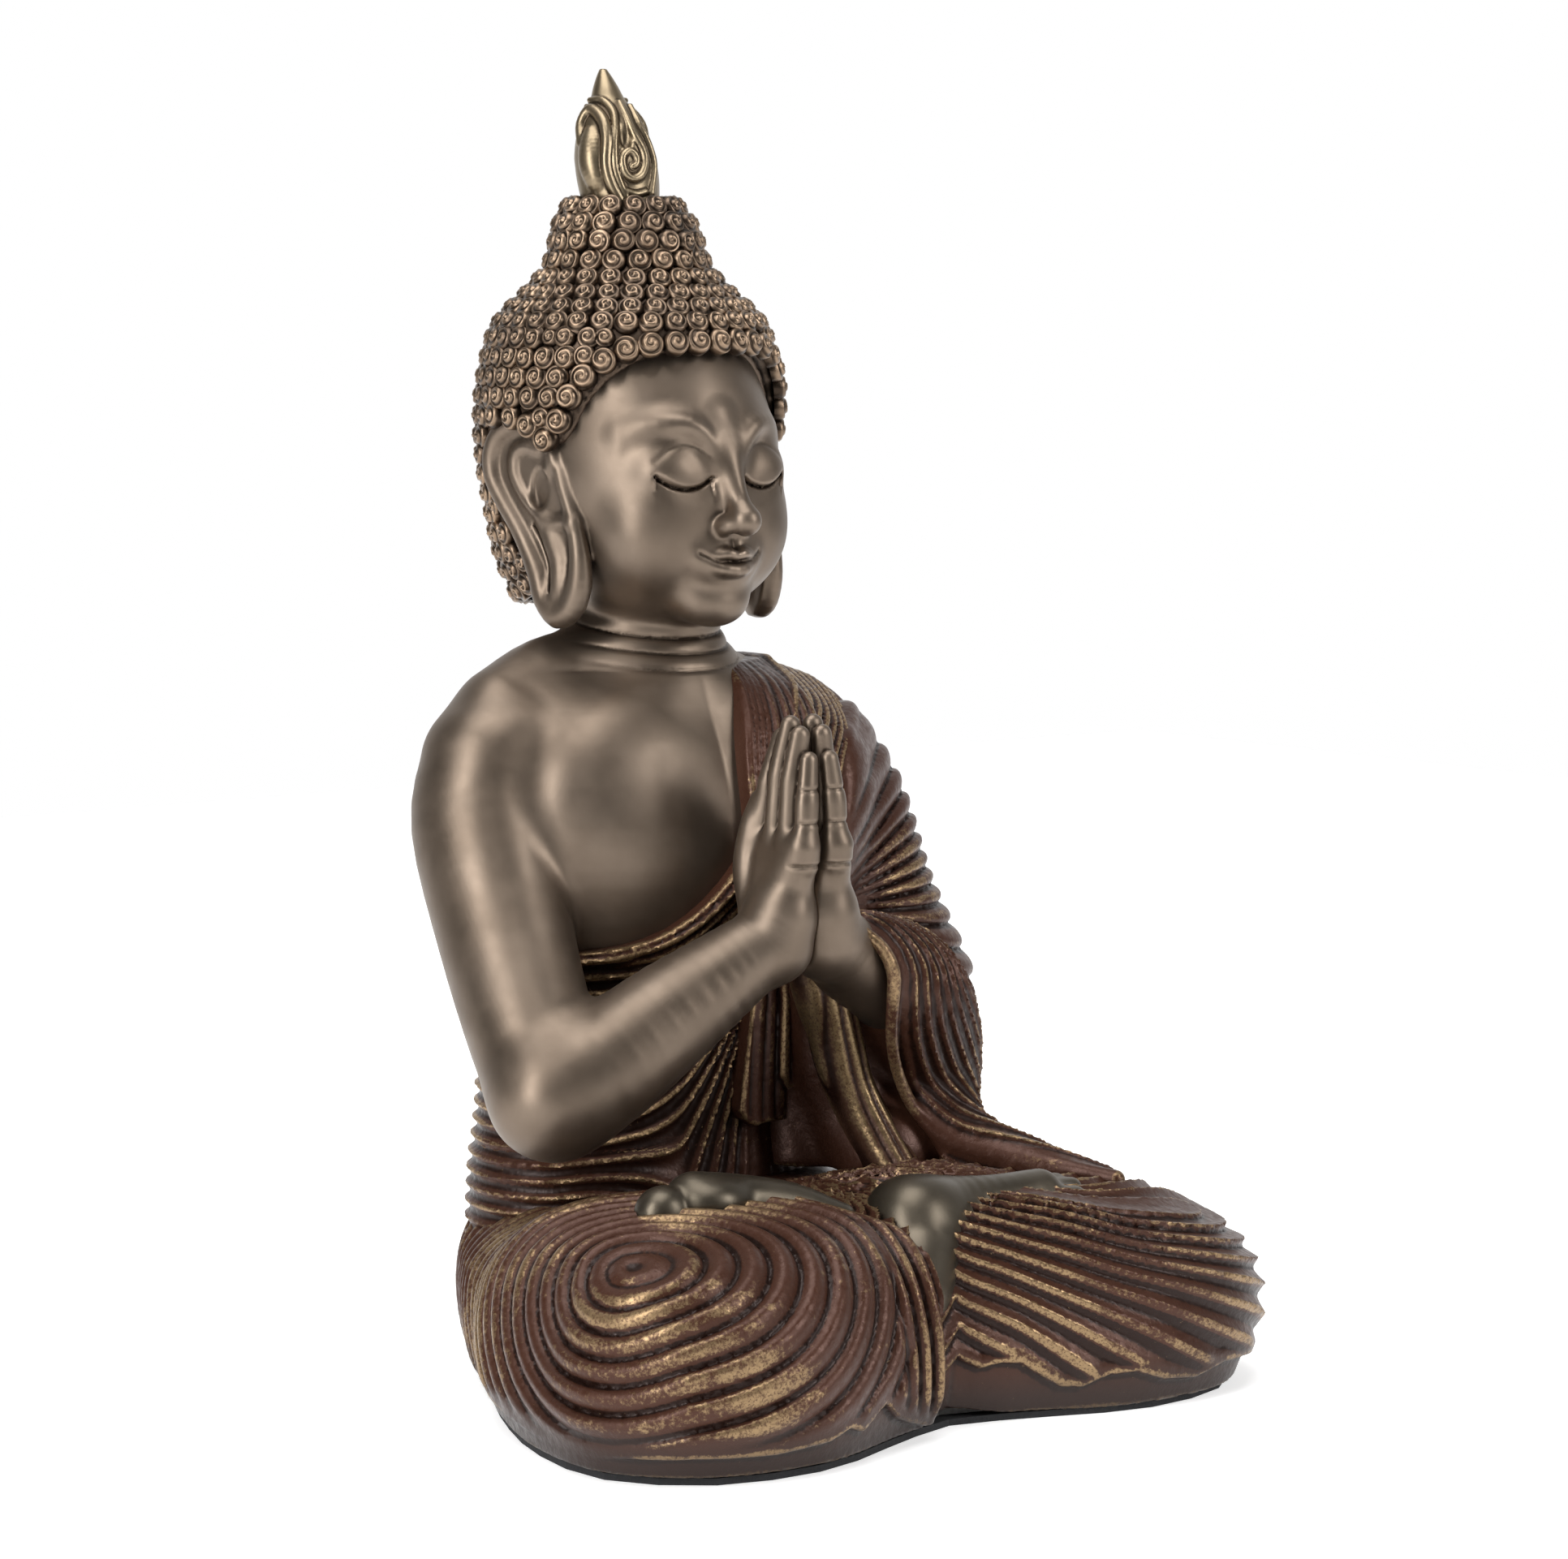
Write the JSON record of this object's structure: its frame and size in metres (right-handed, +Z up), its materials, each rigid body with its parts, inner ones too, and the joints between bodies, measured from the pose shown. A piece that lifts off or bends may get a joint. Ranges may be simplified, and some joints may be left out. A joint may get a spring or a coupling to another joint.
{
  "type": "seated buddha statue",
  "caption": "Free-standing seated buddha statue, legs crossed and palms pressed together, with a curled hair cap, a flame finial and a flat felted base.",
  "frame": {"origin": "on the underside of the felt, under the middle of the statue's bounding box", "axes": "+Z up, -Y the way the figure faces, +X towards the figure's left hand side"},
  "size_m": [0.1862, 0.1746, 0.3],
  "materials": {
    "black_felt": "matte",
    "raw_resin": "matte",
    "robe_paint": "satin",
    "sash_paint": "satin",
    "skin_bronze": "satin",
    "foot_bronze": "satin",
    "hair_bronze": "satin",
    "flame_brass": "satin",
    "dowel_steel": "satin"
  },
  "bodies": {
    "root": {"felt_pad": "black_felt", "base_plate": "raw_resin", "lap_casting": "robe_paint", "right_foot": "foot_bronze", "left_foot": "foot_bronze", "torso_casting": "skin_bronze", "robe_wrap": "robe_paint", "shoulder_sash": "sash_paint", "left_upper_sleeve": "robe_paint", "left_sleeve_fall": "robe_paint", "right_upper_arm": "skin_bronze", "right_forearm": "skin_bronze", "left_forearm": "skin_bronze", "right_hand": "skin_bronze", "left_hand": "skin_bronze", "head_casting": "skin_bronze", "hair_cap": "hair_bronze", "flame_finial": "flame_brass", "waist_dowel_right": "dowel_steel", "waist_dowel_left": "dowel_steel", "neck_dowel": "dowel_steel", "right_shoulder_dowel": "dowel_steel", "left_shoulder_dowel": "dowel_steel", "finial_pin": "dowel_steel"}
  },
  "joints": []
}
